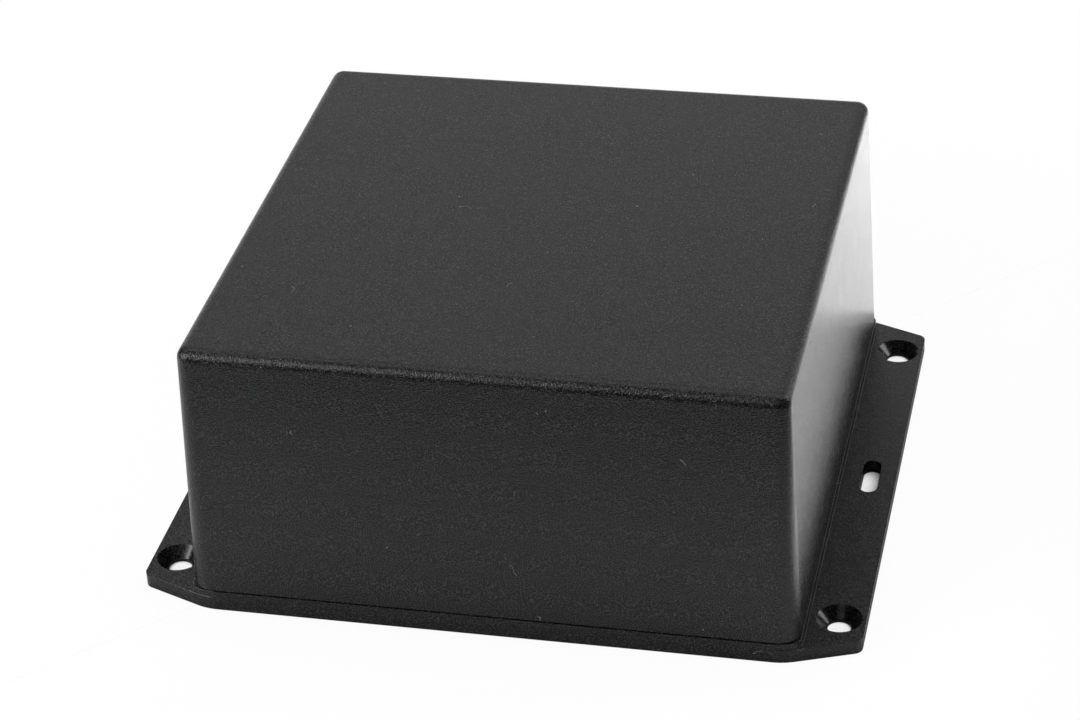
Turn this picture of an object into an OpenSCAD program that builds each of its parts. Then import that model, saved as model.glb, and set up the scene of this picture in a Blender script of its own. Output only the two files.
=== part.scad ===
// Flanged project box: a deep moulded body, closed from below by a lid with two mounting flanges.
// Millimetres, +Z up. The origin is the centre of the lid's flat underside.
// X runs across the two flanges, Y along them.

/* [Body] */
// Length of the body at its open rim, from flange to flange
box_l = 120; // [90:1:200]
// Width of the body at its open rim
box_w = 120; // [90:1:200]
// Overall height of the closed box, lid included
box_h = 58.4; // [40:0.1:110]
// Thickness of the side walls
wall = 2.5; // [2:0.1:3.5]
// Thickness of the closed end
top_t = 2.5; // [2:0.1:4]
// Draft of the side walls, in degrees
draft = 2; // [0.5:0.25:3]
// Radius of the upright corners, where they reach the closed end
corner_r = 2.6; // [1:0.1:5]
// Rounding of the edge round the closed end
edge_r = 2.4; // [0.5:0.1:3]
// Radius of the inside corners. The inside edge round the closed end has half of it
inner_r = 1.2; // [0.6:0.1:2.5]
// Height of the shadow line between body and lid
gap_h = 0.4; // [0.2:0.1:0.8]
// Depth of the shadow line into the wall
gap_in = 0.8; // [0.4:0.1:1.2]

/* [Lid] */
// Thickness of the lid's raised frame, which carries the body
lid_t = 4.2; // [3.9:0.1:6]
// Thickness of the flanges and of the lid's plate
flange_t = 2.8; // [2.4:0.1:3.4]
// How far each flange stands out from the body
flange_out = 11.3; // [10:0.1:20]
// How far the outer edge of a flange is narrower than the body, at each end
flange_taper = 5.5; // [2:0.5:10]
// How far inside the body's corner the taper starts
taper_start = 3; // [1:0.5:6]
// Radius of the outer corners of the flanges
flange_r = 2; // [0.5:0.25:4]
// Blend radius where the taper leaves the lid's straight front
shoulder_r = 12; // [4:1:16]
// How far the top of the raised frame stands outside the body, beside the flanges
frame_out = 0.1; // [0.05:0.05:0.8]
// How much wider the frame is at its foot
frame_slope = 0.3; // [0.1:0.05:0.6]
// Length of the slanted cut at each corner of the frame
frame_cut = 3; // [2:0.25:5]
// Depth of that cut at the lid's front
frame_cut_in = 1.4; // [0.8:0.1:2]
// How far the ends of the frame are set back from the lid's edge
frame_back = 0.12; // [0.05:0.01:0.3]

/* [Flange holes] */
// Diameter of the screw holes
hole_d = 4.7; // [3.5:0.1:6]
// Diameter of the countersinks at the top of the flanges
sink_d = 8.9; // [7:0.1:9.6]
// Distance of the hole centres from the outer edge of the flange
hole_edge = 5.2; // [5:0.05:5.8]
// Distance of the hole centres from the ends of the body
hole_end = 12; // [11:0.5:24]
// Width of the slot in the middle of each flange
slot_w = 3.6; // [3:0.1:5]
// Length of that slot
slot_l = 11.2; // [8:0.1:24]

/* [Closing screws] */
// Distance of the screw posts' centres from the body's rim
post_in = 6.6; // [6:0.1:9]
// Diameter of the screw posts
post_d = 9; // [8:0.1:11]
// Outer diameter of the threaded inserts
insert_d = 5; // [4.6:0.1:6]
// Length of the inserts
insert_l = 8; // [5:0.5:12]
// Length of the grip groove round the middle of an insert
grip_l = 1.6; // [1:0.2:2.4]
// Clearance between an insert and its hole, on the radius
insert_fit = 0.05; // [0.02:0.01:0.1]
// Thread diameter of the screws
screw_d = 3.5; // [2.5:0.1:3.8]
// Length of the screws, head included
screw_l = 12; // [8:0.5:16]
// Clearance between the screw and the insert's thread, on the radius
thread_fit = 0.05; // [0.02:0.01:0.1]
// Clearance between the screw and its hole in the lid, on the radius
screw_gap = 0.3; // [0.15:0.05:0.5]
// Diameter of the screws' countersunk heads
head_d = 6.8; // [6:0.1:8]
// Depth of the head's face below the lid's underside
head_sink = 0.25; // [0.1:0.05:0.5]
// Height of the straight rim of a head
head_rim = 0.3; // [0.2:0.05:0.5]
// Clearance between a head and its countersink
head_fit = 0.05; // [0.02:0.01:0.15]
// Width of the cross recess in a head
recess_w = 3.6; // [2.4:0.1:4]
// Depth of the recess
recess_h = 1.4; // [1:0.1:1.6]
// Thickness of the recess's blades
blade_t = 0.9; // [0.6:0.1:1.2]
// Room past the end of a screw
tip_room = 1.5; // [1:0.5:4]

/* [Inside] */
// Height of the lid's locating tongue above the frame
tongue_h = 2; // [1:0.25:4]
// Thickness of the tongue
tongue_t = 1.5; // [1:0.1:2.5]
// Clearance between the tongue and the wall or the posts
tongue_fit = 0.2; // [0.1:0.05:0.4]
// Number of card guides on each wall
guides = 3; // [1:1:4]
// Distance from one card guide to the next
guide_pitch = 22; // [12:1:24]
// Width of the groove between the two ribs of a guide
card_gap = 2; // [1.2:0.1:3]
// Thickness of the guide ribs
rib_t = 1.2; // [0.8:0.1:2]
// How far the guide ribs stand out from the wall
rib_out = 1.6; // [1:0.1:3]
// Diameter of the board standoffs
stand_d = 6; // [5:0.1:8]
// Height of the board standoffs
stand_h = 4; // [2:0.5:10]
// Distance of the standoffs from the ends of the body
stand_in = 17; // [17:0.5:24]
// Diameter of the pilot holes in the standoffs
pilot_d = 2.5; // [2:0.1:3]
// Plastic left between a pilot hole and the outside
pilot_floor = 1.5; // [0.8:0.1:1.6]

/* [Hidden] */
$fn = 64;
over = 1;                                  // how far a cut runs past the face it opens
slope = tan(draft);
shell_z = lid_t + gap_h;                   // lower edge of the outer walls
shell_h = box_h - shell_z;
cavity_h = box_h - top_t - lid_t;
round_room = 0.1;                          // least difference between a corner's radius and its edge's
edge = min(edge_r, corner_r - round_room);
rim_r = corner_r + micron((shell_h - edge) * slope);  // corner radius at the rim
post_x = box_l / 2 - post_in;
post_y = box_w / 2 - post_in;
seat = post_d / 2 + tongue_fit;            // half width of the seats that the posts stand on
hole_x = box_l / 2 + flange_out - hole_edge;
hole_y = box_w / 2 - hole_end;
head_h = (head_d - screw_d) / 2;           // depth of the 90 degree cone of a head
cone_z = head_sink + head_rim;             // where that cone starts
tongue_x = box_l / 2 - wall - tongue_fit;  // outer face of the tongue
tongue_y = box_w / 2 - wall - tongue_fit;
guide_z = lid_t + tongue_h + over;         // the ribs start clear of the tongue
let_in = 2;                                // angle between an outline's arcs and its sides
quarters = [[-1, -1], [1, -1], [1, 1], [-1, 1]];
corner_names = ["front_left", "front_right", "back_right", "back_left"];

black = "#2a2a2b";
brass = "#b8923f";
steel = "#a9adb0";

// ---- Outlines ----

function unit(v) = v / norm(v);

// Rounded to a micron, so that faces drawn in different places meet on the same numbers
function micron(v) = round(v * 1000) / 1000;

// A convex outline with one radius for each corner
module rounded_outline(points, radii) {
    n = len(points);
    difference() {
        polygon(points);
        for (i = [0:n - 1])
            if (radii[i] > 0)
                corner_cut(points[(i + n - 1) % n], points[i], points[(i + 1) % n], radii[i]);
    }
}

// What rounding takes away at corner p, between the corners a and b. The arc is let in by a
// hair's breadth, so that it crosses the straight sides cleanly.
module corner_cut(a, p, b, r) {
    u = unit(a - p);
    w = unit(b - p);
    half = acos(u * w) / 2;
    mid = p + unit(u + w) * r / sin(half);
    ends = [p + u * r / tan(half), p + w * r / tan(half)];
    difference() {
        polygon([for (q = [mid, ends[0], p, ends[1]]) 2 * q - mid]);
        translate(mid) circle(r / cos(let_in));
    }
}

module rounded_rectangle(half_x, half_y, r) {
    rounded_outline([for (q = quarters) [q.x * half_x, q.y * half_y]], [r, r, r, r]);
}

module slot_outline(w, l) {
    square([w, l - w], center = true);
    for (end = [-1, 1])
        translate([0, end * (l - w) / 2])
            intersection() {
                circle(w / 2);
                translate([-w, end > 0 ? 0 : -w]) square([2 * w, w]);
            }
}

module at_quarters(x, y, z) {
    for (q = quarters)
        translate([q.x * x, q.y * y, z]) children();
}

// ---- Drafted blocks ----

// A block with leaning walls and a quarter round along its upper edge, given by its half sizes at
// z = 0 and by the corner radius at the top. Its corners are quarter turns of the section that the
// two crossed bars are drawn with.
module drafted_block(half_x, half_y, r, h, e) {
    lean = micron((h - e) * slope);
    turns = [[1, 1], [-1, 1], [-1, -1], [1, -1]];
    mid_x = half_x - lean - r;
    mid_y = half_y - lean - r;
    for (i = [0:3])
        translate([turns[i].x * mid_x, turns[i].y * mid_y, 0])
            rotate(90 * i)
                rotate_extrude(angle = 90) wall_section(r + lean, r, h, e);
    rotate([90, 0, 0])
        linear_extrude(2 * mid_y, center = true) bar_section(half_x, half_x - lean, h, e);
    rotate([90, 0, 90])
        linear_extrude(2 * mid_x, center = true) bar_section(half_y, half_y - lean, h, e);
}

module wall_section(foot, top, h, e) {
    polygon([[0, 0], [foot, 0], [top, h - e], [top - e, h - e], [top - e, h], [0, h]]);
    quarter_round(top, h, e);
}

module bar_section(foot, top, h, e) {
    polygon([
        [-foot, 0], [foot, 0], [top, h - e], [top - e, h - e],
        [top - e, h], [e - top, h], [e - top, h - e], [-top, h - e]
    ]);
    quarter_round(top, h, e);
    mirror([1, 0]) quarter_round(top, h, e);
}

module quarter_round(top, h, e) {
    translate([top - e, h - e])
        intersection() {
            circle(e);
            square(2 * e);
        }
}

// The space inside the walls, less `less` on every wall, from z = from up to z = to
module inner_block(less, from, to, e) {
    wide = micron((lid_t - from) * slope) - wall - less;
    translate([0, 0, from])
        drafted_block(box_l / 2 + wide, box_w / 2 + wide, inner_r, to - from, e);
}

// ---- Body ----

module enclosure_body() {
    color(black)
    difference() {
        union() {
            translate([0, 0, shell_z])
                drafted_block(box_l / 2, box_w / 2, corner_r, shell_h, edge);
            translate([0, 0, lid_t])
                linear_extrude(gap_h + over)
                    rounded_rectangle(box_l / 2 - gap_in, box_w / 2 - gap_in, rim_r - gap_in);
        }
        difference() {
            inner_block(0, lid_t - over, box_h - top_t, inner_r / 2);
            screw_posts();
            card_guides();
            at_quarters(box_l / 2 - stand_in, box_w / 2 - stand_in, box_h - top_t - stand_h)
                cylinder(d = stand_d, h = stand_h + over);
        }
        insert_holes();
        pilot_holes();
    }
}

// Round posts, joined to the walls by a solid corner behind them
module screw_posts() {
    for (q = quarters)
        translate([q.x * post_x, q.y * post_y, lid_t - over]) {
            cylinder(d = post_d, h = cavity_h + 2 * over);
            translate([q.x > 0 ? 0 : -post_in, q.y > 0 ? 0 : -post_in, 0])
                cube([post_in, post_in, cavity_h + 2 * over]);
        }
}

// Pairs of upright ribs on the four walls, with a groove for a card between them
module card_guides() {
    rib_h = box_h - guide_z;
    difference() {
        for (i = [0:guides - 1])
            for (side = [-1, 1]) {
                place = (i - (guides - 1) / 2) * guide_pitch + side * (card_gap + rib_t) / 2;
                translate([-box_l / 2, place - rib_t / 2, guide_z]) cube([box_l, rib_t, rib_h]);
                translate([place - rib_t / 2, -box_w / 2, guide_z]) cube([rib_t, box_w, rib_h]);
            }
        inner_block(rib_out, lid_t, box_h + over, inner_r / 2);
    }
}

module insert_holes() {
    at_quarters(post_x, post_y, lid_t - over) {
        cylinder(r = insert_d / 2 + insert_fit, h = insert_l + over);
        cylinder(r = screw_d / 2 + screw_gap, h = head_sink + screw_l + tip_room - lid_t + over);
    }
}

module pilot_holes() {
    start = box_h - top_t - stand_h - over;
    at_quarters(box_l / 2 - stand_in, box_w / 2 - stand_in, start)
        cylinder(d = pilot_d, h = box_h - pilot_floor - start);
}

// ---- Lid ----

module flanged_lid() {
    color(black)
    difference() {
        union() {
            linear_extrude(flange_t) flange_outline(0);
            raised_frame();
            tongue();
        }
        lid_pocket();
        at_quarters(hole_x, hole_y, 0) flange_hole();
        for (side = [-1, 1])
            translate([side * hole_x, 0, -over])
                linear_extrude(flange_t + 2 * over) slot_outline(slot_w, slot_l);
        at_quarters(post_x, post_y, 0) lid_screw_hole();
    }
}

module flange_outline(back) {
    hx = box_l / 2 + flange_out - back;
    hy = box_w / 2 - back;
    flat_x = box_l / 2 - taper_start;
    flat_y = box_w / 2 - flange_taper;
    rounded_outline(
        [[hx, -flat_y], [hx, flat_y], [flat_x, hy], [-flat_x, hy],
         [-hx, flat_y], [-hx, -flat_y], [-flat_x, -hy], [flat_x, -hy]],
        [flange_r, flange_r, shoulder_r, shoulder_r, flange_r, flange_r, shoulder_r, shoulder_r]
    );
}

// The thicker middle of the lid. It is flush with the lid's front and back between the body's
// rounded corners, and has sloping sides and slanted corners beside the flanges.
module raised_frame() {
    top = box_l / 2 + frame_out;
    foot = top + frame_slope;
    end = box_w / 2;
    flush = box_l / 2 - rim_r;
    intersection() {
        linear_extrude(lid_t) flange_outline(0);
        translate([-flush, -end, 0]) cube([2 * flush, 2 * end, lid_t]);
    }
    intersection() {
        linear_extrude(lid_t) flange_outline(frame_back);
        linear_extrude(lid_t)
            rounded_outline(
                [[foot, frame_cut - end], [foot, end - frame_cut], [foot - frame_cut_in, end],
                 [frame_cut_in - foot, end], [-foot, end - frame_cut], [-foot, frame_cut - end],
                 [frame_cut_in - foot, -end], [foot - frame_cut_in, -end]],
                [frame_cut, frame_cut, 0, 0, frame_cut, frame_cut, 0, 0]
            );
        rotate([90, 0, 0])
            linear_extrude(box_w, center = true)
                polygon([
                    [-foot, 0], [foot, 0], [foot, flange_t],
                    [top, lid_t], [-top, lid_t], [-foot, flange_t]
                ]);
    }
}

// Four bars that drop inside the body's rim, between the posts
module tongue() {
    run_x = post_x - seat;
    run_y = post_y - seat;
    for (side = [-1, 1]) {
        translate([-run_x, side > 0 ? tongue_y - tongue_t : -tongue_y, flange_t])
            cube([2 * run_x, tongue_t, lid_t - flange_t + tongue_h]);
        translate([side > 0 ? tongue_x - tongue_t : -tongue_x, -run_y, flange_t])
            cube([tongue_t, 2 * run_y, lid_t - flange_t + tongue_h]);
    }
}

// A pocket that brings the plate down to the flanges' thickness and leaves seats for the posts
module lid_pocket() {
    in_x = tongue_x - tongue_t;
    in_y = tongue_y - tongue_t;
    run_x = post_x - seat;
    run_y = post_y - seat;
    translate([0, 0, flange_t])
        linear_extrude(lid_t - flange_t + over) {
            square([2 * in_x, 2 * run_y], center = true);
            square([2 * run_x, 2 * in_y], center = true);
        }
}

// A through hole with a 90 degree countersink at the top
module flange_hole() {
    translate([0, 0, -over]) cylinder(d = hole_d, h = flange_t + 2 * over);
    sink_h = (sink_d - hole_d) / 2;
    translate([0, 0, flange_t - sink_h])
        cylinder(d1 = hole_d, d2 = sink_d + 2 * over, h = sink_h + over);
}

// The hole of a closing screw, countersunk from the underside
module lid_screw_hole() {
    mouth = head_d / 2 + head_fit;
    shaft = screw_d / 2 + screw_gap;
    translate([0, 0, -over]) cylinder(r = shaft, h = lid_t + 2 * over);
    translate([0, 0, -over]) cylinder(r = mouth, h = cone_z + over);
    translate([0, 0, cone_z]) cylinder(r1 = mouth, r2 = shaft, h = mouth - shaft);
}

// ---- Inserts and screws ----

// A brass insert with a bevelled lead-in at both ends and a grip groove
module threaded_insert(q) {
    outer = insert_d / 2;
    bore = screw_d / 2 + thread_fit;
    bevel = (outer - bore) / 2;
    groove = bevel / 2;
    low = (insert_l - grip_l) / 2;
    high = (insert_l + grip_l) / 2;
    color(brass)
    translate([q.x * post_x, q.y * post_y, lid_t])
        rotate_extrude()
            polygon([
                [bore, 0], [outer - bevel, 0], [outer, bevel],
                [outer, low], [outer - groove, low + groove],
                [outer - groove, high - groove], [outer, high],
                [outer, insert_l - bevel], [outer - bevel, insert_l], [bore, insert_l]
            ]);
}

// A countersunk machine screw, head down, with a cross recess
module lid_screw(q) {
    shaft = screw_d / 2;
    bevel = shaft / 4;
    color(steel)
    translate([q.x * post_x, q.y * post_y, head_sink])
        difference() {
            rotate_extrude()
                polygon([
                    [0, 0], [head_d / 2, 0], [head_d / 2, head_rim], [shaft, head_rim + head_h],
                    [shaft, screw_l - bevel], [shaft - bevel, screw_l], [0, screw_l]
                ]);
            cross_recess();
        }
}

module cross_recess() {
    wide = recess_w / 2;
    tip = wide / 3;
    for (turn = [0, 90])
        rotate([90, 0, turn])
            linear_extrude(blade_t, center = true)
                polygon([
                    [-wide, -over], [wide, -over], [wide, 0],
                    [tip, recess_h], [-tip, recess_h], [-wide, 0]
                ]);
}

enclosure_body();
flanged_lid();
for (i = [0:3]) {
    threaded_insert(quarters[i]);
    lid_screw(quarters[i]);
}
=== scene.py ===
import math

import bpy
from mathutils import Matrix, Vector


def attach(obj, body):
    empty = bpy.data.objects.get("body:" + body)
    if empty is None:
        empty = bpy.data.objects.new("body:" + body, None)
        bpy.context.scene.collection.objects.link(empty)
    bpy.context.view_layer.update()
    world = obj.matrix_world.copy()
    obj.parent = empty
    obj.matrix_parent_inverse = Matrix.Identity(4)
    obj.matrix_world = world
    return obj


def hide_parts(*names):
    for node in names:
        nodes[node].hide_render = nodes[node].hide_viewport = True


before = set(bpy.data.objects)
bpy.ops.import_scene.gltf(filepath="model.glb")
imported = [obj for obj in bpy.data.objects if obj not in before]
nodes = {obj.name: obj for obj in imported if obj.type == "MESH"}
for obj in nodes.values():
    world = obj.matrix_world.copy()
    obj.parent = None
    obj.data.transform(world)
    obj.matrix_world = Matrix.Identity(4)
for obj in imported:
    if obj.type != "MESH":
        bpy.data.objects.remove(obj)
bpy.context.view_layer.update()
mm = 0.001
print("frame loaded,", len(nodes), "nodes")

# Camera: a long lens, looking down on the closed end from the front

camera = {
    "lens": 105.99,
    "sensor": 36,
    "clip": (0.01, 100),                    # metres
    "place": (127.58, -531.48, 373.60),     # millimetres
    "aim": (-1.116, -2.586, 26.474),
    "roll": -3.01,                          # degrees
}


def placeCamera(spec):
    place = Vector(spec["place"]) * mm
    look = (Vector(spec["aim"]) * mm - place).normalized()
    roll = Matrix.Rotation(math.radians(spec["roll"]), 3, "Z").to_quaternion()
    turn = look.to_track_quat("-Z", "Y") @ roll
    data = bpy.data.cameras.new("camera")
    data.lens = spec["lens"]
    data.sensor_width = spec["sensor"]
    data.clip_start, data.clip_end = spec["clip"]
    shot = bpy.data.objects.new("camera", data)
    shot.matrix_world = Matrix.Translation(place) @ turn.to_matrix().to_4x4()
    bpy.context.scene.collection.objects.link(shot)
    bpy.context.scene.camera = shot


placeCamera(camera)
print("camera ready")

# Helpers for node trees


def linear(hexCode, alpha=1.0):
    channels = [int(hexCode[i:i + 2], 16) / 255 for i in (1, 3, 5)]
    return [c / 12.92 if c <= 0.04045 else ((c + 0.055) / 1.055) ** 2.4 for c in channels] + [alpha]


def addNode(tree, kind, inputs=None, **settings):
    node = tree.nodes.new(kind)
    for name, value in settings.items():
        setattr(node, name, value)
    for name, value in (inputs or {}).items():
        if isinstance(value, bpy.types.NodeSocket):
            tree.links.new(value, node.inputs[name])
        else:
            node.inputs[name].default_value = value
    return node


def newMaterial(name):
    material = bpy.data.materials.new(name)
    material.use_nodes = True
    material.node_tree.nodes.clear()
    return material, material.node_tree


def perMetre(sizeMm):
    return 1 / (sizeMm * mm)


# Moulded ABS, on the body and the lid

blackAbs = {
    "dark": "#020203",
    "light": "#3a3a3c",         # the highest crests of the grain, painted light as the glints of their facets
    "crestFrom": 0.53, "crestFull": 0.62, "crestGlintShare": 0.85,
    "flowMm": 30, "flowShare": 0.06,        # faint unevenness of the moulding
    "ior": 1.53,
    "gloss": 0.32,              # the eroded grain scatters part of the shine that 0.5 would give
    "roughness": 0.22, "roughSwing": 0.06,
    "handledMm": 14, "handledShine": 0.03,  # smears left by handling
    "sparkMm": 0.27,            # grain of the mould, drawn coarser than it is so that it shows
    "sparkDepthMm": 0.065,
    "edgeMm": 0.18,             # how far a moulded edge is rounded
    "edgeFrom": 0.95, "edgeFull": 0.998,    # how well the rounded and the true normal agree
    "edgeGrain": 0.25,          # share of the grain that is left on an edge
    "cutX": 70.9, "cutY": 53.5, "cutTop": 2.76, "cutFoot": 0.05,    # where only holes and slots are
    "scuffAndHighlight": "#7c7c7e",         # plastic rubbed along an edge, and painted highlight on the frame's edges
    "rubFrom": 0.99, "rubFull": 0.85,
    "rubShare": 0.12, "ridgeHighlightShare": 1.5,
    "ridgeX": 60.25, "ridgeReach": 0.65,    # the frame beside the flanges is painted palest, as the highlight lines of its rounded edges
    "dust": "#77746f",
    "dustRoughness": 0.9,
    "speckPitchMm": 9.0,
    "speckFrom": 0.88,          # about one cell in eight of that pitch carries a speck
    "speckMm": 0.18,
    "lintPitchMm": 45,          # size of the field whose borders the lint follows
    "lintMm": 0.10,
    "lintBendMm": 3.0, "lintSway": 0.005,   # how closely and how far, in metres, a thread bends
    "lintBreakMm": 3.5, "lintKept": 0.74,   # how soon a thread ends, and how few are left
    "upright": 0.7,             # a face that looks up more than this is no wall
}


def mouldedAbs(spec):
    # Black ABS from a spark-eroded mould: a dark, faintly grainy skin whose sheen only comes up at a
    # low angle, with edges that are never quite sharp and catch the light as thin lines. The grain's
    # crests are painted light as glints, and the edges carry painted highlight along with their wear.
    # A few specks of dust and short threads of lint cling to it.
    material, tree = newMaterial("moulded ABS, spark-eroded black")
    place = addNode(tree, "ShaderNodeTexCoord").outputs["Object"]
    grain = addNode(tree, "ShaderNodeTexNoise", {
        "Vector": place, "Scale": perMetre(spec["sparkMm"]), "Detail": 2.0, "Roughness": 0.6,
    })
    pits = addNode(tree, "ShaderNodeTexVoronoi", {
        "Vector": place, "Scale": perMetre(spec["sparkMm"]), "Smoothness": 0.6,
    }, feature="SMOOTH_F1")
    relief = addNode(tree, "ShaderNodeMath", {
        0: grain.outputs["Fac"], 1: pits.outputs["Distance"],
    }, operation="ADD")

    # the grain fades at the edges, and the holes and slots below the flange's top are smooth
    faces = addNode(tree, "ShaderNodeNewGeometry")
    roundEdge = addNode(tree, "ShaderNodeBevel", {"Radius": spec["edgeMm"] * mm}, samples=4)
    match = addNode(tree, "ShaderNodeVectorMath", {
        0: faces.outputs["Normal"], 1: roundEdge.outputs["Normal"],
    }, operation="DOT_PRODUCT")
    awayFromEdge = addNode(tree, "ShaderNodeMapRange", {
        "Value": match.outputs["Value"], "From Min": spec["edgeFrom"], "From Max": spec["edgeFull"],
        "To Min": spec["edgeGrain"], "To Max": 1.0,
    })
    folded = addNode(tree, "ShaderNodeVectorMath", {0: place}, operation="ABSOLUTE")
    folded = addNode(tree, "ShaderNodeSeparateXYZ", {"Vector": folded.outputs["Vector"]})
    cutFace = None
    for axis, limit, side in (
        ("X", "cutX", "LESS_THAN"), ("Y", "cutY", "LESS_THAN"),
        ("Z", "cutTop", "LESS_THAN"), ("Z", "cutFoot", "GREATER_THAN"),
    ):
        within = addNode(tree, "ShaderNodeMath", {
            0: folded.outputs[axis], 1: spec[limit] * mm,
        }, operation=side)
        if cutFace:
            within = addNode(tree, "ShaderNodeMath", {
                0: cutFace.outputs[0], 1: within.outputs[0],
            }, operation="MULTIPLY")
        cutFace = within
    eroded = addNode(tree, "ShaderNodeMath", {0: 1.0, 1: cutFace.outputs[0]}, operation="SUBTRACT")
    eroded = addNode(tree, "ShaderNodeMath", {
        0: eroded.outputs[0], 1: awayFromEdge.outputs["Result"],
    }, operation="MULTIPLY")
    relief = addNode(tree, "ShaderNodeMath", {
        0: relief.outputs[0], 1: eroded.outputs[0],
    }, operation="MULTIPLY")
    skin = addNode(tree, "ShaderNodeBump", {
        "Height": relief.outputs["Value"], "Normal": roundEdge.outputs["Normal"],
        "Strength": 1.0, "Distance": spec["sparkDepthMm"] * mm,
    })

    # tone: the grain's fine light and dark, its crests painted light as the glints of their facets,
    # over a slow drift of the moulding
    flow = addNode(tree, "ShaderNodeTexNoise", {
        "Vector": place, "Scale": perMetre(spec["flowMm"]), "Detail": 3.0,
    })
    crestGlints = addNode(tree, "ShaderNodeMapRange", {
        "Value": grain.outputs["Fac"], "From Min": spec["crestFrom"], "From Max": spec["crestFull"],
        "To Min": 0.0, "To Max": spec["crestGlintShare"],
    })
    blend = addNode(tree, "ShaderNodeMix", {
        "Factor": spec["flowShare"], "A": crestGlints.outputs["Result"], "B": flow.outputs["Fac"],
    })
    tone = addNode(tree, "ShaderNodeMix", {
        "Factor": blend.outputs["Result"], "A": linear(spec["dark"]), "B": linear(spec["light"]),
    }, data_type="RGBA")

    # wear and painted highlight: edges where the true and the rounded normal part are rubbed a little
    # paler, and the edges of the frame beside the flanges are painted much paler as their thin
    # highlight lines
    rubAndHighlight = addNode(tree, "ShaderNodeMapRange", {
        "Value": match.outputs["Value"], "From Min": spec["rubFrom"], "From Max": spec["rubFull"],
        "To Min": 0.0, "To Max": 1.0,
    })
    ridgeHighlight = addNode(tree, "ShaderNodeMath", {
        0: folded.outputs["X"], 1: spec["ridgeX"] * mm, 2: spec["ridgeReach"] * mm,
    }, operation="COMPARE")
    share = addNode(tree, "ShaderNodeMath", {
        0: ridgeHighlight.outputs[0], 1: spec["ridgeHighlightShare"], 2: spec["rubShare"],
    }, operation="MULTIPLY_ADD")
    share = addNode(tree, "ShaderNodeMath", {
        0: share.outputs[0], 1: flow.outputs["Fac"],
    }, operation="MULTIPLY")
    rubAndHighlight = addNode(tree, "ShaderNodeMath", {
        0: rubAndHighlight.outputs["Result"], 1: share.outputs[0],
    }, operation="MULTIPLY")
    tone = addNode(tree, "ShaderNodeMix", {
        "Factor": rubAndHighlight.outputs["Value"], "A": tone.outputs["Result"], "B": linear(spec["scuffAndHighlight"]),
    }, data_type="RGBA")

    # dust: small specks in some cells of a random field, and lint along its borders, cut short; both
    # are laid flat on what faces up and wrapped round the walls
    parts = addNode(tree, "ShaderNodeSeparateXYZ", {"Vector": place})
    around = addNode(tree, "ShaderNodeMath", {
        0: parts.outputs["X"], 1: parts.outputs["Y"],
    }, operation="ADD")
    walls = addNode(tree, "ShaderNodeCombineXYZ", {"X": around.outputs[0], "Y": parts.outputs["Z"]})
    upward = addNode(tree, "ShaderNodeSeparateXYZ", {"Vector": faces.outputs["Normal"]})
    upward = addNode(tree, "ShaderNodeMath", {
        0: upward.outputs["Z"], 1: spec["upright"],
    }, operation="GREATER_THAN")
    lying = addNode(tree, "ShaderNodeMix", {
        "Factor": upward.outputs["Value"], "A": walls.outputs[0], "B": place,
    }, data_type="VECTOR")
    specks = addNode(tree, "ShaderNodeTexVoronoi", {
        "Vector": lying.outputs["Result"], "Scale": perMetre(spec["speckPitchMm"]),
    }, voronoi_dimensions="2D")
    pick = addNode(tree, "ShaderNodeSeparateColor", {"Color": specks.outputs["Color"]})
    reach = addNode(tree, "ShaderNodeMapRange", {
        "Value": pick.outputs["Red"], "From Min": spec["speckFrom"], "From Max": 1.0,
        "To Min": 0.0, "To Max": spec["speckMm"] / spec["speckPitchMm"],
    })
    speck = addNode(tree, "ShaderNodeMath", {
        0: specks.outputs["Distance"], 1: reach.outputs["Result"],
    }, operation="LESS_THAN")
    bend = addNode(tree, "ShaderNodeTexNoise", {
        "Vector": place, "Scale": perMetre(spec["lintBendMm"]), "Detail": 1.0,
    })
    bent = addNode(tree, "ShaderNodeVectorMath", {
        0: bend.outputs["Color"], 1: (spec["lintSway"],) * 3, 2: lying.outputs["Result"],
    }, operation="MULTIPLY_ADD")
    fibres = addNode(tree, "ShaderNodeTexVoronoi", {
        "Vector": bent.outputs["Vector"], "Scale": perMetre(spec["lintPitchMm"]),
    }, feature="DISTANCE_TO_EDGE", voronoi_dimensions="2D")
    thread = addNode(tree, "ShaderNodeMath", {
        0: fibres.outputs["Distance"], 1: spec["lintMm"] / spec["lintPitchMm"] / 2,
    }, operation="LESS_THAN")
    breaks = addNode(tree, "ShaderNodeTexNoise", {
        "Vector": place, "Scale": perMetre(spec["lintBreakMm"]), "Detail": 0.0,
    })
    kept = addNode(tree, "ShaderNodeMath", {
        0: breaks.outputs["Fac"], 1: spec["lintKept"],
    }, operation="GREATER_THAN")
    lint = addNode(tree, "ShaderNodeMath", {
        0: thread.outputs["Value"], 1: kept.outputs["Value"],
    }, operation="MULTIPLY")
    dirt = addNode(tree, "ShaderNodeMath", {
        0: speck.outputs["Value"], 1: lint.outputs["Value"],
    }, operation="MAXIMUM")
    tone = addNode(tree, "ShaderNodeMix", {
        "Factor": dirt.outputs["Value"], "A": tone.outputs["Result"], "B": linear(spec["dust"]),
    }, data_type="RGBA")

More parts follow.
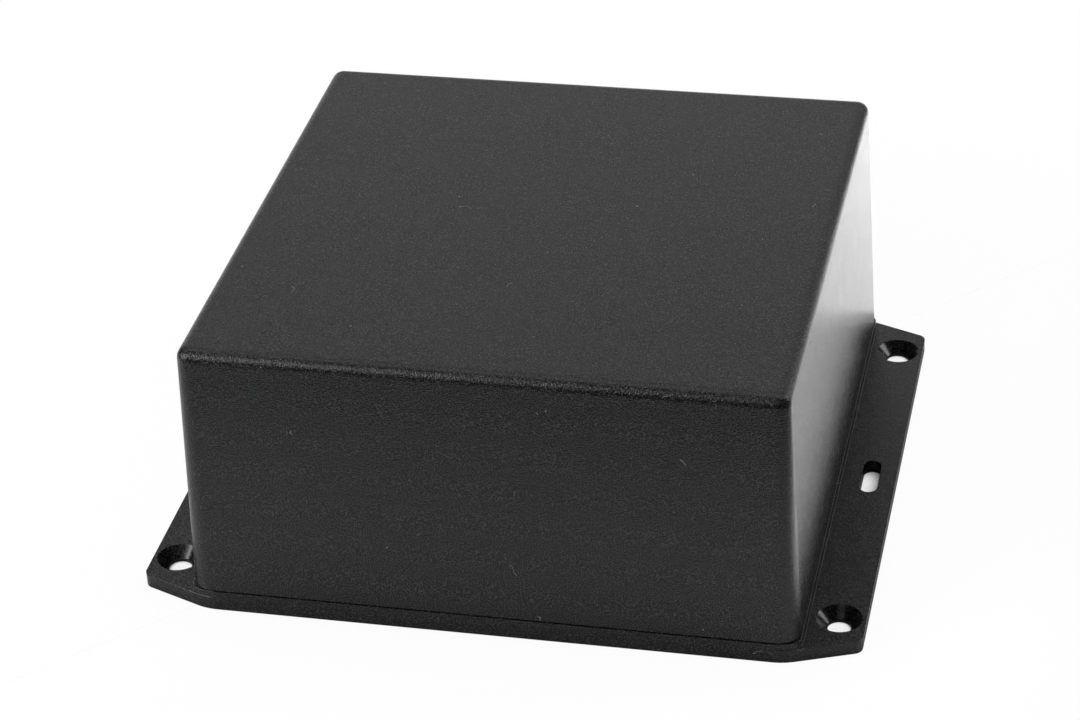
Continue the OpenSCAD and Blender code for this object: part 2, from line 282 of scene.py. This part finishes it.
    # sheen: rougher and smoother with the grain, and a little smoother where it has been handled
    gloss = addNode(tree, "ShaderNodeMapRange", {
        "Value": grain.outputs["Fac"], "From Min": 0.3, "From Max": 0.7,
        "To Min": spec["roughness"] - spec["roughSwing"],
        "To Max": spec["roughness"] + spec["roughSwing"],
    })
    smear = addNode(tree, "ShaderNodeTexNoise", {
        "Vector": place, "Scale": perMetre(spec["handledMm"]), "Detail": 2.0, "Distortion": 1.2,
    })
    handled = addNode(tree, "ShaderNodeMapRange", {
        "Value": smear.outputs["Fac"], "From Min": 0.5, "From Max": 0.75,
        "To Min": 0.0, "To Max": -spec["handledShine"],
    })
    gloss = addNode(tree, "ShaderNodeMath", {
        0: gloss.outputs["Result"], 1: handled.outputs["Result"],
    }, operation="ADD")
    gloss = addNode(tree, "ShaderNodeMix", {
        "Factor": dirt.outputs["Value"], "A": gloss.outputs["Value"], "B": spec["dustRoughness"],
    })
    shader = addNode(tree, "ShaderNodeBsdfPrincipled", {
        "Base Color": tone.outputs["Result"], "Roughness": gloss.outputs["Result"],
        "IOR": spec["ior"], "Specular IOR Level": spec["gloss"], "Normal": skin.outputs["Normal"],
    })
    addNode(tree, "ShaderNodeOutputMaterial", {"Surface": shader.outputs["BSDF"]})
    return material


absMaterial = mouldedAbs(blackAbs)
for name in ("enclosure_body", "flanged_lid"):
    nodes[name].material_slots[0].material = absMaterial
print("ABS ready")

# Closing screws and threaded inserts, built in millimetres from sheets that are wrapped round

closingScrew = {
    "Head diameter": 6.8, "Head rim": 0.3, "Thread diameter": 3.5, "Length": 12.0,
    "Pitch": 0.6, "Thread depth": 0.25, "Tip chamfer": 0.45,
    "Recess width": 3.6, "Recess tip": 1.2, "Recess depth": 1.4, "Recess blade": 0.9,
    "Spacing": 106.8, "Sink": 0.25, "Row": 0.075,
}
threadedInsert = {
    "Diameter": 5.0, "Bore": 3.6, "Length": 8.0, "Bevel": 0.35, "Pitch": 0.6, "Thread depth": 0.25,
    "Groove length": 1.6, "Groove depth": 0.3,
    "Knurl depth": 0.12, "Knurl teeth": 24.0, "Knurl lean": 0.35,
    "Spacing": 106.8, "Foot": 4.2, "Row": 0.2,
}
columns = {"screw": 33, "insert": 73}       # the insert has three for each tooth of its knurl
recessRoom = 0.4            # how far outside the head the recess's blades start
mergeWithin = 0.002
sharpFrom = 35              # degrees between two faces


def newTree(name, spec):
    tree = bpy.data.node_groups.new(name, "GeometryNodeTree")
    for label, value in spec.items():
        socket = tree.interface.new_socket(label, in_out="INPUT", socket_type="NodeSocketFloat")
        socket.default_value = value
    seed = tree.interface.new_socket("Seed", in_out="INPUT", socket_type="NodeSocketInt")
    seed.default_value = 0
    tree.interface.new_socket("Finish", in_out="INPUT", socket_type="NodeSocketMaterial")
    tree.interface.new_socket("Geometry", in_out="OUTPUT", socket_type="NodeSocketGeometry")
    return tree, tree.nodes.new("NodeGroupInput").outputs


def flatSheet(tree, across, rows):
    # A flat sheet, where each of its points is, and how far round the finished shape that is (0 to 1)
    rows = addNode(tree, "FunctionNodeFloatToInt", {0: rows})
    sheet = addNode(tree, "GeometryNodeMeshGrid", {
        "Size X": 1.0, "Size Y": 1.0, "Vertices X": across, "Vertices Y": rows.outputs[0],
    })
    position = addNode(tree, "GeometryNodeInputPosition")
    spot = addNode(tree, "ShaderNodeSeparateXYZ", {"Vector": position.outputs[0]})
    turn = addNode(tree, "ShaderNodeMath", {0: spot.outputs["X"], 1: 0.5}, operation="ADD")
    return sheet.outputs["Mesh"], spot.outputs, turn.outputs[0]


def wrapRound(tree, sheet, turn, radius, height):
    # Bends the sheet round Z, and merges its seam and the rows that meet on the axis or each other
    angle = addNode(tree, "ShaderNodeMath", {0: turn, 1: 2 * math.pi}, operation="MULTIPLY")
    across = []
    for operation in ("COSINE", "SINE"):
        part = addNode(tree, "ShaderNodeMath", {0: angle.outputs[0]}, operation=operation)
        part = addNode(tree, "ShaderNodeMath", {0: part.outputs[0], 1: radius}, operation="MULTIPLY")
        across.append(part.outputs[0])
    point = addNode(tree, "ShaderNodeCombineXYZ", {"X": across[0], "Y": across[1], "Z": height})
    wrapped = addNode(tree, "GeometryNodeSetPosition", {
        "Geometry": sheet, "Position": point.outputs[0],
    })
    merged = addNode(tree, "GeometryNodeMergeByDistance", {
        "Geometry": wrapped.outputs[0], "Distance": mergeWithin,
    })
    return merged.outputs[0]


def threadCut(tree, sizes, turn, height):
    # How deep the thread is cut at each point: 0 on its crests, 1 in its roots
    coils = addNode(tree, "ShaderNodeMath", {0: height, 1: sizes["Pitch"]}, operation="DIVIDE")
    coils = addNode(tree, "ShaderNodeMath", {0: coils.outputs[0], 1: turn}, operation="SUBTRACT")
    cut = addNode(tree, "ShaderNodeMath", {0: coils.outputs[0], 1: 0.5}, operation="PINGPONG")
    cut = addNode(tree, "ShaderNodeMath", {0: cut.outputs[0], 1: 2.0}, operation="MULTIPLY")
    return cut.outputs[0]


def screwTree(spec):
    # One screw, head down at z = 0: a threaded, countersunk shape with the cross recess cut out
    tree, sizes = newTree("closing screws", spec)
    radiusOf = {}
    for label in ("Head diameter", "Thread diameter"):
        half = addNode(tree, "ShaderNodeMath", {0: sizes[label], 1: 0.5}, operation="MULTIPLY")
        radiusOf[label] = half.outputs[0]
    headHeight = addNode(tree, "ShaderNodeMath", {
        0: radiusOf["Head diameter"], 1: radiusOf["Thread diameter"],
    }, operation="SUBTRACT")
    neck = addNode(tree, "ShaderNodeMath", {
        0: sizes["Head rim"], 1: headHeight.outputs[0],
    }, operation="ADD")
    below = addNode(tree, "ShaderNodeMath", {0: sizes["Row"], 1: -1.0}, operation="MULTIPLY")
    above = addNode(tree, "ShaderNodeMath", {
        0: sizes["Length"], 1: sizes["Row"],
    }, operation="ADD")
    rows = addNode(tree, "ShaderNodeMath", {
        0: sizes["Length"], 1: sizes["Row"],
    }, operation="DIVIDE")
    rows = addNode(tree, "ShaderNodeMath", {0: rows.outputs[0], 1: 3.0}, operation="ADD")
    sheet, spot, turn = flatSheet(tree, columns["screw"], rows.outputs[0])
    climb = addNode(tree, "ShaderNodeMapRange", {
        "Value": spot["Y"], "From Min": -0.5, "From Max": 0.5,
        "To Min": below.outputs[0], "To Max": above.outputs[0],
    }, clamp=False)
    height = addNode(tree, "ShaderNodeClamp", {
        "Value": climb.outputs["Result"], "Min": 0.0, "Max": sizes["Length"],
    })
    face = addNode(tree, "ShaderNodeMapRange", {
        "Value": climb.outputs["Result"], "From Min": below.outputs[0], "From Max": 0.0,
    })
    tip = addNode(tree, "ShaderNodeMapRange", {
        "Value": climb.outputs["Result"],
        "From Min": sizes["Length"], "From Max": above.outputs[0], "To Min": 1.0, "To Max": 0.0,
    })
    ends = addNode(tree, "ShaderNodeMath", {
        0: face.outputs["Result"], 1: tip.outputs["Result"],
    }, operation="MULTIPLY")
    outline = addNode(tree, "ShaderNodeMapRange", {
        "Value": height.outputs["Result"],
        "From Min": sizes["Head rim"], "From Max": neck.outputs[0],
        "To Min": radiusOf["Head diameter"], "To Max": radiusOf["Thread diameter"],
    })
    chamferFrom = addNode(tree, "ShaderNodeMath", {
        0: sizes["Length"], 1: sizes["Tip chamfer"],
    }, operation="SUBTRACT")
    chamfer = addNode(tree, "ShaderNodeMapRange", {
        "Value": height.outputs["Result"],
        "From Min": chamferFrom.outputs[0], "From Max": sizes["Length"],
        "To Min": 0.0, "To Max": sizes["Tip chamfer"],
    })
    runIn = addNode(tree, "ShaderNodeMath", {0: neck.outputs[0], 1: sizes["Pitch"]}, operation="ADD")
    depth = addNode(tree, "ShaderNodeMapRange", {
        "Value": height.outputs["Result"],
        "From Min": neck.outputs[0], "From Max": runIn.outputs[0],
        "To Min": 0.0, "To Max": sizes["Thread depth"],
    })
    cut = addNode(tree, "ShaderNodeMath", {
        0: threadCut(tree, sizes, turn, height.outputs["Result"]), 1: depth.outputs["Result"],
    }, operation="MULTIPLY")
    cut = addNode(tree, "ShaderNodeMath", {
        0: cut.outputs[0], 1: chamfer.outputs["Result"],
    }, operation="MAXIMUM")
    radius = addNode(tree, "ShaderNodeMath", {
        0: outline.outputs["Result"], 1: cut.outputs[0],
    }, operation="SUBTRACT")
    radius = addNode(tree, "ShaderNodeMath", {
        0: radius.outputs[0], 1: ends.outputs[0],
    }, operation="MULTIPLY")
    blank = wrapRound(tree, sheet, turn, radius.outputs[0], height.outputs["Result"])

    # the two tapered blades of the cross recess
    cube = addNode(tree, "GeometryNodeMeshCube", {"Size": (1.0, 1.0, 1.0)})
    bladeHeight = addNode(tree, "ShaderNodeMapRange", {
        "Value": spot["Z"], "From Min": -0.5, "From Max": 0.5,
        "To Min": -recessRoom, "To Max": sizes["Recess depth"],
    })
    bladeWidth = addNode(tree, "ShaderNodeMapRange", {
        "Value": bladeHeight.outputs["Result"], "From Min": 0.0, "From Max": sizes["Recess depth"],
        "To Min": sizes["Recess width"], "To Max": sizes["Recess tip"],
    }, clamp=False)
    bladeX = addNode(tree, "ShaderNodeMath", {
        0: spot["X"], 1: bladeWidth.outputs["Result"],
    }, operation="MULTIPLY")
    bladeY = addNode(tree, "ShaderNodeMath", {
        0: spot["Y"], 1: sizes["Recess blade"],
    }, operation="MULTIPLY")
    bladePoint = addNode(tree, "ShaderNodeCombineXYZ", {
        "X": bladeX.outputs[0], "Y": bladeY.outputs[0], "Z": bladeHeight.outputs["Result"],
    })
    blade = addNode(tree, "GeometryNodeSetPosition", {
        "Geometry": cube.outputs["Mesh"], "Position": bladePoint.outputs[0],
    })
    crossBlade = addNode(tree, "GeometryNodeTransform", {
        "Geometry": blade.outputs[0], "Rotation": (0, 0, math.pi / 2),
    })
    screw = addNode(tree, "GeometryNodeMeshBoolean", {
        "Mesh 1": blank,
    }, operation="DIFFERENCE", solver="EXACT")
    for tool in (blade, crossBlade):
        tree.links.new(tool.outputs[0], screw.inputs["Mesh 2"])
    setOnPosts(tree, sizes, screw.outputs["Mesh"], sizes["Sink"])
    return tree


def insertTree(spec):
    # One insert, foot at z = 0: rows run up the knurled outside and back down the threaded bore
    tree, sizes = newTree("threaded inserts", spec)
    outer = addNode(tree, "ShaderNodeMath", {0: sizes["Diameter"], 1: 0.5}, operation="MULTIPLY")
    bore = addNode(tree, "ShaderNodeMath", {0: sizes["Bore"], 1: 0.5}, operation="MULTIPLY")
    side = addNode(tree, "ShaderNodeMath", {
        0: sizes["Length"], 1: sizes["Row"],
    }, operation="ADD")
    loop = addNode(tree, "ShaderNodeMath", {0: side.outputs[0], 1: 2.0}, operation="MULTIPLY")
    rows = addNode(tree, "ShaderNodeMath", {0: loop.outputs[0], 1: sizes["Row"]}, operation="DIVIDE")
    rows = addNode(tree, "ShaderNodeMath", {0: rows.outputs[0], 1: 1.0}, operation="ADD")
    sheet, spot, turn = flatSheet(tree, columns["insert"], rows.outputs[0])
    travel = addNode(tree, "ShaderNodeMapRange", {
        "Value": spot["Y"], "From Min": -0.5, "From Max": 0.5,
        "To Min": 0.0, "To Max": loop.outputs[0],
    })
    back = addNode(tree, "ShaderNodeMath", {
        0: sizes["Length"], 1: side.outputs[0],
    }, operation="ADD")
    down = addNode(tree, "ShaderNodeMath", {
        0: back.outputs[0], 1: travel.outputs["Result"],
    }, operation="SUBTRACT")
    height = addNode(tree, "ShaderNodeMath", {
        0: travel.outputs["Result"], 1: down.outputs[0],
    }, operation="MINIMUM")
    height = addNode(tree, "ShaderNodeClamp", {
        "Value": height.outputs[0], "Min": 0.0, "Max": sizes["Length"],
    })
    halfWay = addNode(tree, "ShaderNodeMath", {0: sizes["Length"], 1: 0.5}, operation="MULTIPLY")
    boreMiddle = addNode(tree, "ShaderNodeMath", {
        0: side.outputs[0], 1: halfWay.outputs[0],
    }, operation="ADD")
    boreReach = addNode(tree, "ShaderNodeMath", {
        0: sizes["Row"], 1: 0.5, 2: halfWay.outputs[0],
    }, operation="MULTIPLY_ADD")
    inBore = addNode(tree, "ShaderNodeMath", {
        0: travel.outputs["Result"], 1: boreMiddle.outputs[0], 2: boreReach.outputs[0],
    }, operation="COMPARE")

    # outside: bevelled ends, a groove half way up, and knurling that leans one way below it and the
    # other way above
    fromMiddle = addNode(tree, "ShaderNodeMath", {
        0: height.outputs["Result"], 1: halfWay.outputs[0],
    }, operation="SUBTRACT")
    awayFromMiddle = addNode(tree, "ShaderNodeMath", {0: fromMiddle.outputs[0]}, operation="ABSOLUTE")
    fromEnd = addNode(tree, "ShaderNodeMath", {
        0: halfWay.outputs[0], 1: awayFromMiddle.outputs[0],
    }, operation="SUBTRACT")
    bevel = addNode(tree, "ShaderNodeMapRange", {
        "Value": fromEnd.outputs[0], "From Min": 0.0, "From Max": sizes["Bevel"],
        "To Min": sizes["Bevel"], "To Max": 0.0,
    })
    grooveEnd = addNode(tree, "ShaderNodeMath", {
        0: sizes["Groove length"], 1: 0.5,
    }, operation="MULTIPLY")
    grooveFoot = addNode(tree, "ShaderNodeMath", {
        0: grooveEnd.outputs[0], 1: sizes["Groove depth"],
    }, operation="SUBTRACT")
    groove = addNode(tree, "ShaderNodeMapRange", {
        "Value": awayFromMiddle.outputs[0],
        "From Min": grooveFoot.outputs[0], "From Max": grooveEnd.outputs[0],
        "To Min": sizes["Groove depth"], "To Max": 0.0,
    })
    teeth = addNode(tree, "ShaderNodeMath", {0: turn, 1: sizes["Knurl teeth"]}, operation="MULTIPLY")
    slant = addNode(tree, "ShaderNodeMath", {
        0: awayFromMiddle.outputs[0], 1: sizes["Knurl lean"], 2: teeth.outputs[0],
    }, operation="MULTIPLY_ADD")
    knurl = addNode(tree, "ShaderNodeMath", {0: slant.outputs[0], 1: 0.5}, operation="PINGPONG")
    knurl = addNode(tree, "ShaderNodeMath", {0: knurl.outputs[0], 1: 2.0}, operation="MULTIPLY")
    knurl = addNode(tree, "ShaderNodeMath", {
        0: knurl.outputs[0], 1: sizes["Knurl depth"],
    }, operation="MULTIPLY")
    cut = addNode(tree, "ShaderNodeMath", {
        0: bevel.outputs["Result"], 1: groove.outputs["Result"],
    }, operation="MAXIMUM")
    cut = addNode(tree, "ShaderNodeMath", {
        0: cut.outputs[0], 1: knurl.outputs[0],
    }, operation="MAXIMUM")
    outside = addNode(tree, "ShaderNodeMath", {
        0: outer.outputs[0], 1: cut.outputs[0],
    }, operation="SUBTRACT")

    # bore: the thread is cut outwards from the clear diameter
    inside = addNode(tree, "ShaderNodeMath", {
        0: threadCut(tree, sizes, turn, height.outputs["Result"]),
        1: sizes["Thread depth"], 2: bore.outputs[0],
    }, operation="MULTIPLY_ADD")
    radius = addNode(tree, "ShaderNodeMix", {
        "Factor": inBore.outputs[0], "A": outside.outputs[0], "B": inside.outputs[0],
    })
    insert = wrapRound(tree, sheet, turn, radius.outputs[0], height.outputs["Result"])
    setOnPosts(tree, sizes, insert, sizes["Foot"])
    return tree


def setOnPosts(tree, sizes, shape, foot):
    # Four copies on the corners of a square, each turned its own way, brought from millimetres to
    # metres
    posts = addNode(tree, "GeometryNodeMeshGrid", {
        "Size X": sizes["Spacing"], "Size Y": sizes["Spacing"], "Vertices X": 2, "Vertices Y": 2,
    })
    spin = addNode(tree, "FunctionNodeRandomValue", {
        "Min": 0.0, "Max": 2 * math.pi, "Seed": sizes["Seed"],
    })
    spin = addNode(tree, "ShaderNodeCombineXYZ", {"Z": spin.outputs[1]})
    copies = addNode(tree, "GeometryNodeInstanceOnPoints", {
        "Points": posts.outputs["Mesh"], "Instance": shape, "Rotation": spin.outputs[0],
    })
    lift = addNode(tree, "ShaderNodeCombineXYZ", {"Z": foot})
    raised = addNode(tree, "GeometryNodeTransform", {
        "Geometry": copies.outputs[0], "Translation": lift.outputs[0],
    })
    scaled = addNode(tree, "GeometryNodeTransform", {
        "Geometry": raised.outputs[0], "Scale": (mm, mm, mm),
    })
    whole = addNode(tree, "GeometryNodeRealizeInstances", {"Geometry": scaled.outputs[0]})
    finished = addNode(tree, "GeometryNodeSetMaterial", {
        "Geometry": whole.outputs[0], "Material": sizes["Finish"],
    })
    addNode(tree, "NodeGroupOutput", {"Geometry": finished.outputs[0]})


def madeFrom(tree, name, spec, seed, finish):
    # Runs the tree once and keeps its result as a plain mesh
    blank = bpy.data.objects.new(name + "_blank", bpy.data.meshes.new(name + "_blank"))
    bpy.context.scene.collection.objects.link(blank)
    modifier = blank.modifiers.new("make", "NODES")
    modifier.node_group = tree
    values = dict(spec, Seed=seed, Finish=finish)
    for item in tree.interface.items_tree:
        if item.in_out == "INPUT":
            modifier[item.identifier] = values[item.name]
    evaluated = blank.evaluated_get(bpy.context.evaluated_depsgraph_get())
    mesh = bpy.data.meshes.new_from_object(evaluated)
    bpy.data.objects.remove(blank)
    mesh.name = name
    mesh.shade_smooth()
    mesh.set_sharp_from_angle(angle=math.radians(sharpFrom))
    piece = bpy.data.objects.new(name, mesh)
    bpy.context.scene.collection.objects.link(piece)
    return piece


zincPlate = {
    "clear": "#c6c9cc",
    "cloudy": "#9fa4a6",
    "roughness": 0.27, "roughSwing": 0.08,
    "cloudMm": 1.6,
    "grainMm": 0.12,
    "grainDepthMm": 0.004,
    "edgeMm": 0.08,
}
turnedBrass = {
    "bright": "#d8b469",
    "dull": "#a8823f",
    "roughness": 0.30, "brighter": 0.08, "duller": 0.12,
    "tarnishMm": 1.8,
    "lineMm": 0.08,             # tool marks round the turned faces
    "lineStretch": 20,          # how much longer than wide they are
    "lineDepthMm": 0.006,
    "edgeMm": 0.06,
}


def platedSteel(spec):
    # Steel screws with bright zinc plate: a cool, slightly cloudy grey mirror with softened edges
    material, tree = newMaterial("steel, bright zinc plate")
    place = addNode(tree, "ShaderNodeTexCoord").outputs["Object"]
    cloud = addNode(tree, "ShaderNodeTexNoise", {
        "Vector": place, "Scale": perMetre(spec["cloudMm"]), "Detail": 3.0,
    })
    grain = addNode(tree, "ShaderNodeTexNoise", {
        "Vector": place, "Scale": perMetre(spec["grainMm"]), "Detail": 1.0,
    })
    tone = addNode(tree, "ShaderNodeMix", {
        "Factor": cloud.outputs["Fac"], "A": linear(spec["clear"]), "B": linear(spec["cloudy"]),
    }, data_type="RGBA")
    sheen = addNode(tree, "ShaderNodeMapRange", {
        "Value": cloud.outputs["Fac"], "From Min": 0.3, "From Max": 0.7,
        "To Min": spec["roughness"] - spec["roughSwing"],
        "To Max": spec["roughness"] + spec["roughSwing"],
    })
    roundEdge = addNode(tree, "ShaderNodeBevel", {"Radius": spec["edgeMm"] * mm}, samples=4)
    skin = addNode(tree, "ShaderNodeBump", {
        "Height": grain.outputs["Fac"], "Normal": roundEdge.outputs["Normal"],
        "Strength": 1.0, "Distance": spec["grainDepthMm"] * mm,
    })
    shader = addNode(tree, "ShaderNodeBsdfPrincipled", {
        "Base Color": tone.outputs["Result"], "Metallic": 1.0, "Roughness": sheen.outputs["Result"],
        "Normal": skin.outputs["Normal"],
    })
    addNode(tree, "ShaderNodeOutputMaterial", {"Surface": shader.outputs["BSDF"]})
    return material


def brassStock(spec):
    # Free-cutting brass from the lathe: warm, bright on the crests, duller with tarnish in patches,
    # with fine tool marks round it
    material, tree = newMaterial("brass, turned and knurled")
    place = addNode(tree, "ShaderNodeTexCoord").outputs["Object"]
    tarnish = addNode(tree, "ShaderNodeTexNoise", {
        "Vector": place, "Scale": perMetre(spec["tarnishMm"]), "Detail": 3.0,
    })
    stretch = addNode(tree, "ShaderNodeMapping", {
        "Vector": place, "Scale": (1 / spec["lineStretch"], 1 / spec["lineStretch"], 1.0),
    })
    lines = addNode(tree, "ShaderNodeTexNoise", {
        "Vector": stretch.outputs["Vector"], "Scale": perMetre(spec["lineMm"]), "Detail": 1.0,
    })
    tone = addNode(tree, "ShaderNodeMix", {
        "Factor": tarnish.outputs["Fac"], "A": linear(spec["bright"]), "B": linear(spec["dull"]),
    }, data_type="RGBA")
    sheen = addNode(tree, "ShaderNodeMapRange", {
        "Value": tarnish.outputs["Fac"], "From Min": 0.3, "From Max": 0.7,
        "To Min": spec["roughness"] - spec["brighter"], "To Max": spec["roughness"] + spec["duller"],
    })
    roundEdge = addNode(tree, "ShaderNodeBevel", {"Radius": spec["edgeMm"] * mm}, samples=4)
    skin = addNode(tree, "ShaderNodeBump", {
        "Height": lines.outputs["Fac"], "Normal": roundEdge.outputs["Normal"],
        "Strength": 1.0, "Distance": spec["lineDepthMm"] * mm,
    })
    shader = addNode(tree, "ShaderNodeBsdfPrincipled", {
        "Base Color": tone.outputs["Result"], "Metallic": 1.0, "Roughness": sheen.outputs["Result"],
        "Normal": skin.outputs["Normal"],
    })
    addNode(tree, "ShaderNodeOutputMaterial", {"Surface": shader.outputs["BSDF"]})
    return material


corners = ("front_left", "front_right", "back_right", "back_left")
screws = madeFrom(
    screwTree(closingScrew), "closing_screws", closingScrew, 3, platedSteel(zincPlate))
inserts = madeFrom(
    insertTree(threadedInsert), "threaded_inserts", threadedInsert, 8, brassStock(turnedBrass))
for piece, slotName, stem in (
    (screws, "plated_steel", "lid_screw_"), (inserts, "brass", "insert_"),
):
    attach(piece, "root")
    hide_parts(*[stem + corner for corner in corners])
    print(piece.name, len(piece.data.polygons), "faces")
print("screws and inserts ready")

# Studio: white paper under a pale sky, with soft lamps; metres where no unit is given

studio = {
    "floorHalf": 20.0,
    "floorDropMm": 0.05,        # just clear of the lid's underside
    "glow": 0.96,               # share of plain white that the camera sees; the rest takes the shadow
    "glossGlow": 0.0,           # the same share in reflections, which show the paper as it is lit, with its painted shade
    "nookMm": 100,              # painted shade: how near a wall darkens the floor's white glow
    "nook": 0.4,                # open share of the sky at which the floor is fully white
    "nookFall": 2.0,            # how fast it darkens below that
    "footShadeMm": 15,               # painted shade: how near the object the paper's colour is darker
    "paperFrom": -0.195, "paperFull": -0.150,   # painted shade: the paper's colour is full white from here backwards
    "paperFrontShade": 0.02,          # and near black in front
    "paperLeft": 0.09, "paperRight": 0.15, "paperRightShade": 0.35,   # and painted darker on the right
    "lamps": {
        "ceiling": {
            "size": (2.4, 1.2), "place": (0, 0.45, 1.5), "aim": (0, 0.45, 0), "radiance": 1.6,
        },
        "keyBox": {
            "size": (0.6, 0.6), "place": (-0.78, -0.72, 0.56), "aim": (0, 0, 0), "radiance": 10.5,
        },
        "frontBox": {
            "size": (1.1, 0.34), "place": (-0.05, -1.02, 0.95), "aim": (0, 0, 0), "radiance": 1.6,
        },
        "rightBox": {
            "size": (0.2, 0.2), "place": (0.45, 0.22, 0.26), "aim": (0, 0, 0), "radiance": 6.0,
        },
    },
    # lit white card flat on the table, in fine steps from front to back: beside the right wall as far
    # as the turn, then behind the box as well and brighter towards the back
    "card": {
        "from": -0.050, "to": 0.150, "steps": 12, "end": 0.22, "lift": 0.0005, "turn": 0.061,
        "beside": 1.85, "behind": 1.10, "far": 2.0,
        "left": 0.0745, "right": 0.100, "slantFrom": 0.05, "slant": 0.3,   # its right end is slanted
    },
    "front": 0.01,
    "back": 0.84,
    "towards": (-0.12, 1.0, -0.25),     # the sky is brightest low down at the back
    "skyFrom": 0.69, "skyFull": 0.80,
}


def softLamp(name, spec):
    wide, high = spec["size"]
    data = bpy.data.lights.new(name, "AREA")
    data.shape = "RECTANGLE"
    data.size = wide
    data.size_y = high
    data.energy = spec["radiance"] * math.pi * wide * high
    lamp = bpy.data.objects.new(name, data)
    look = (Vector(spec["aim"]) - Vector(spec["place"])).to_track_quat("-Z", "Y")
    lamp.matrix_world = Matrix.Translation(spec["place"]) @ look.to_matrix().to_4x4()
    lamp.visible_camera = False
    bpy.context.scene.collection.objects.link(lamp)


def litCard(spec):
    depth = (spec["to"] - spec["from"]) / spec["steps"]
    edges = [spec["from"] + depth * i for i in range(spec["steps"] + 1)] + [spec["end"]]
    for i in range(spec["steps"] + 1):
        middle = (edges[i] + edges[i + 1]) / 2
        if edges[i] < spec["turn"]:
            radiance = spec["beside"]
            left = spec["left"]
        else:
            share = min(1.0, (middle - spec["turn"]) / (spec["to"] - spec["turn"]))
            radiance = spec["behind"] + (spec["far"] - spec["behind"]) * share
            left = 0.0
        right = spec["right"] + max(0.0, middle - spec["slantFrom"]) * spec["slant"]
        centre = (left + right) / 2
        softLamp("card_" + str(i), {
            "size": (right - left, edges[i + 1] - edges[i]),
            "place": (centre, middle, spec["lift"]), "aim": (centre, middle, 1),
            "radiance": radiance,
        })


def whiteFloor(spec):
    half = spec["floorHalf"]
    mesh = bpy.data.meshes.new("floor")
    mesh.from_pydata(
        [(-half, -half, 0), (half, -half, 0), (half, half, 0), (-half, half, 0)], [], [(0, 1, 2, 3)])
    floor = bpy.data.objects.new("floor", mesh)
    floor.location.z = -spec["floorDropMm"] * mm
    bpy.context.scene.collection.objects.link(floor)
    material, tree = newMaterial("white studio floor")
    rays = addNode(tree, "ShaderNodeLightPath")
    clear = addNode(tree, "ShaderNodeMath", {
        0: rays.outputs["Is Camera Ray"], 1: rays.outputs["Is Transmission Ray"],
    }, operation="MAXIMUM")
    clear = addNode(tree, "ShaderNodeMath", {
        0: clear.outputs[0], 1: spec["glow"],
    }, operation="MULTIPLY")
    share = addNode(tree, "ShaderNodeMath", {
        0: rays.outputs["Is Glossy Ray"], 1: spec["glossGlow"], 2: clear.outputs[0],
    }, operation="MULTIPLY_ADD")
    # painted shade: the white glow is dimmed where a wall, a hole or the slot hides the sky from the
    # floor
    nookShade = addNode(tree, "ShaderNodeAmbientOcclusion", {
        "Distance": spec["nookMm"] * mm,
    }, samples=8)
    nookShade = addNode(tree, "ShaderNodeMath", {
        0: nookShade.outputs["AO"], 1: spec["nook"],
    }, operation="DIVIDE")
    nookShade = addNode(tree, "ShaderNodeMath", {
        0: nookShade.outputs[0], 1: spec["nookFall"],
    }, operation="POWER", use_clamp=True)
    place = addNode(tree, "ShaderNodeTexCoord").outputs["Object"]
    parts = addNode(tree, "ShaderNodeSeparateXYZ", {"Vector": place})
    # painted shade in the paper's colour: near black in front, darker near the object and on the
    # right
    paperShade = addNode(tree, "ShaderNodeMapRange", {
        "Value": parts.outputs["Y"], "From Min": spec["paperFrom"], "From Max": spec["paperFull"],
        "To Min": spec["paperFrontShade"], "To Max": 1.0,
    }, interpolation_type="SMOOTHSTEP")
    foot = addNode(tree, "ShaderNodeAmbientOcclusion", {"Distance": spec["footShadeMm"] * mm}, samples=4)
    paperShade = addNode(tree, "ShaderNodeMath", {
        0: paperShade.outputs["Result"], 1: foot.outputs["AO"],
    }, operation="MULTIPLY")
    side = addNode(tree, "ShaderNodeMapRange", {
        "Value": parts.outputs["X"], "From Min": spec["paperLeft"], "From Max": spec["paperRight"],
        "To Min": 1.0, "To Max": spec["paperRightShade"],
    }, interpolation_type="SMOOTHSTEP")
    paperShade = addNode(tree, "ShaderNodeMath", {
        0: paperShade.outputs[0], 1: side.outputs["Result"],
    }, operation="MULTIPLY")
    paper = addNode(tree, "ShaderNodeBsdfDiffuse", {"Color": paperShade.outputs[0]})
    white = addNode(tree, "ShaderNodeEmission", {
        "Color": (1, 1, 1, 1), "Strength": nookShade.outputs[0],
    })
    mix = addNode(tree, "ShaderNodeMixShader", {
        0: share.outputs[0], 1: paper.outputs[0], 2: white.outputs[0],
    })
    addNode(tree, "ShaderNodeOutputMaterial", {"Surface": mix.outputs[0]})
    mesh.materials.append(material)


def studioWorld(spec):
    world = bpy.data.worlds.new("studio")
    world.use_nodes = True
    tree = world.node_tree
    tree.nodes.clear()
    direction = addNode(tree, "ShaderNodeTexCoord").outputs["Generated"]
    along = addNode(tree, "ShaderNodeVectorMath", {
        0: direction, 1: spec["towards"],
    }, operation="DOT_PRODUCT")
    level = addNode(tree, "ShaderNodeMapRange", {
        "Value": along.outputs["Value"], "From Min": spec["skyFrom"], "From Max": spec["skyFull"],
        "To Min": spec["front"], "To Max": spec["back"],
    }, interpolation_type="SMOOTHSTEP")
    light = addNode(tree, "ShaderNodeBackground", {
        "Color": (1, 1, 1, 1), "Strength": level.outputs["Result"],
    })
    addNode(tree, "ShaderNodeOutputWorld", {"Surface": light.outputs[0]})
    bpy.context.scene.world = world


whiteFloor(studio)
studioWorld(studio)
for name, lamp in studio["lamps"].items():
    softLamp(name, lamp)
litCard(studio["card"])
bpy.context.scene.view_settings.view_transform = "Standard"
print("studio ready")
